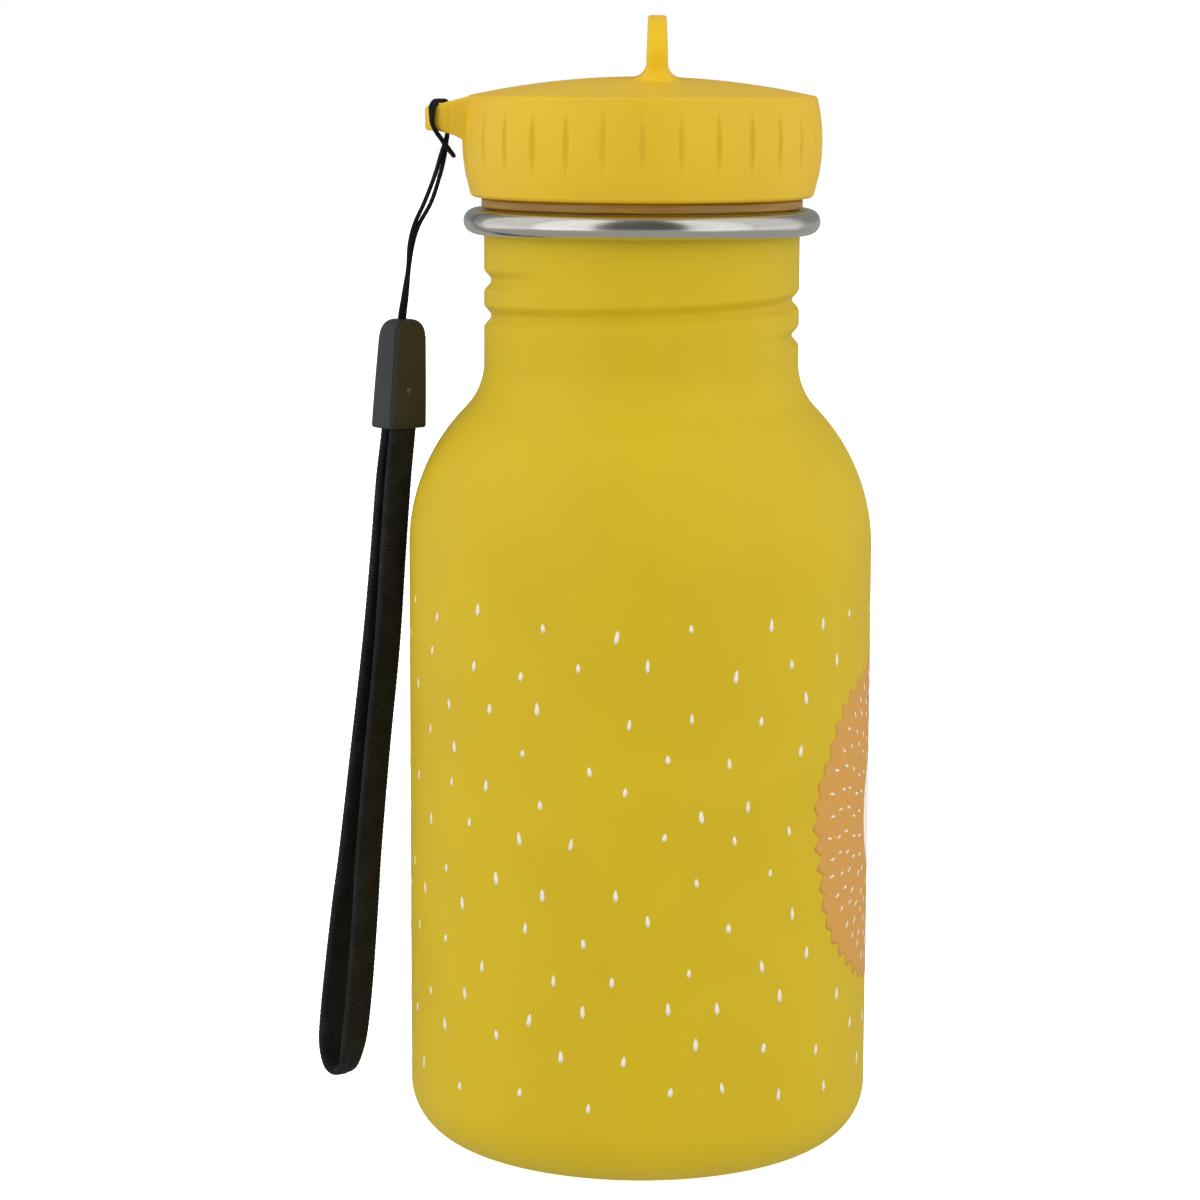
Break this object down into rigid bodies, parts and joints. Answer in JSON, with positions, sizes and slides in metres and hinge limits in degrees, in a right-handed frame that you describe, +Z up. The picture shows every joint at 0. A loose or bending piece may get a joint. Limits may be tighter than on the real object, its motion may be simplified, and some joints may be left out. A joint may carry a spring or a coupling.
{
  "type": "kids water bottle",
  "caption": "Small round-shouldered steel water bottle with a screw cap, fluted grip, upright crest, rolled bare rim and a wrist strap hanging from a lug on the cap.",
  "frame": {"origin": "centre of the ring that the bottle stands on", "axes": "+Z up along the bottle's axis, -X towards the cap's strap lug, +X towards the printed front"},
  "size_m": [0.0796, 0.066, 0.1607],
  "materials": {
    "body_paint": "matt powder coat with printed dashes and a sun disc",
    "bare_steel": "satin bare stainless steel",
    "seal_silicone": "translucent amber silicone",
    "cap_plastic": "soft matt moulded plastic",
    "plug_plastic": "satin moulded plastic",
    "lanyard_cord": "thin braided polyester cord",
    "sleeve_plastic": "fine-grained moulded plastic",
    "crimp_metal": "plated steel clip",
    "webbing": "flat tubular braid"
  },
  "bodies": {
    "bottle": {"bottle_shell": "body_paint", "threaded_neck": "body_paint", "base_disc": "bare_steel", "rolled_rim": "bare_steel"},
    "seal": {"seal_ring": "seal_silicone"},
    "cap": {"cap_cover": "cap_plastic", "threaded_plug": "plug_plastic", "cord_hitch": "lanyard_cord"},
    "lanyard": {"lanyard_cord": "lanyard_cord", "cord_knot": "lanyard_cord"},
    "wrist_loop": {"strap_sleeve": "sleeve_plastic", "webbing_crimp": "crimp_metal", "wrist_webbing": "webbing"}
  },
  "joints": [
    {"name": "cap_rise", "type": "slide", "parent": "bottle", "child": "seal", "axis": [0, 0, 1], "range_m": [0, 0.02501]},
    {"name": "cap_turn", "type": "hinge", "parent": "seal", "child": "cap", "pos_m": [0, 0, 0.14], "axis": [0, 0, 1], "range_deg": [0, 1800]},
    {"name": "strap_swing", "type": "hinge", "parent": "cap", "child": "lanyard", "pos_m": [-0.0273, 0, 0.1423], "axis": [0, 1, 0], "range_deg": [0, 90]},
    {"name": "sleeve_twist", "type": "hinge", "parent": "lanyard", "child": "wrist_loop", "pos_m": [-0.034, 0, 0.114], "axis": [0, 0, 1], "range_deg": [-45, 45]}
  ],
  "couplings": [
    {"joint": "cap_rise", "follows": "cap_turn", "m_per_rad": 0.00079577}
  ]
}
